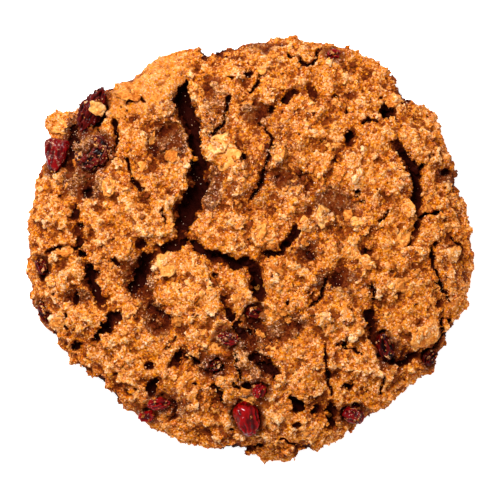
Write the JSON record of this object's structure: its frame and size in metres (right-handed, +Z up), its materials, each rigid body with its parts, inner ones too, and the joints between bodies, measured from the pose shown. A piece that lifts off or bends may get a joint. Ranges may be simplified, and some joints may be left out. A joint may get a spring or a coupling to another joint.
{
  "type": "cranberry oat cookie",
  "caption": "Thick round baked cookie lying flat: cracked craggy dough with rolled oats in the crust and dried berries in pockets.",
  "frame": {"origin": "under the middle of the cookie's outline, on the surface that the cookie lies on", "axes": "+Z up through the cookie's thickness, +X along its widest extent to the right as seen from above, +Y to the far side"},
  "size_m": [0.0895, 0.086, 0.0149],
  "materials": {
    "crust": "dry baked dough, golden on the crags and dark in the cracks",
    "cranberry_red": "wrinkled, translucent dried fruit with a wet shine",
    "cranberry_dark": "wrinkled dried fruit, baked nearly black, with a dull shine"
  },
  "bodies": {
    "root": {"cookie": "crust", "cranberry_corner": "cranberry_red", "cranberry_folded": "cranberry_dark", "cranberry_curled": "cranberry_dark", "cranberry_slice": "cranberry_red", "cranberry_rim": "cranberry_red", "cranberry_glossy": "cranberry_red", "cranberry_behind": "cranberry_red", "cranberry_south": "cranberry_red", "cranberry_middle": "cranberry_red", "cranberry_east": "cranberry_dark", "cranberry_west": "cranberry_dark", "cranberry_low_west": "cranberry_dark", "cranberry_dark": "cranberry_dark", "cranberry_sunk": "cranberry_dark", "cranberry_inner": "cranberry_dark", "cranberry_north": "cranberry_red"}
  },
  "joints": []
}
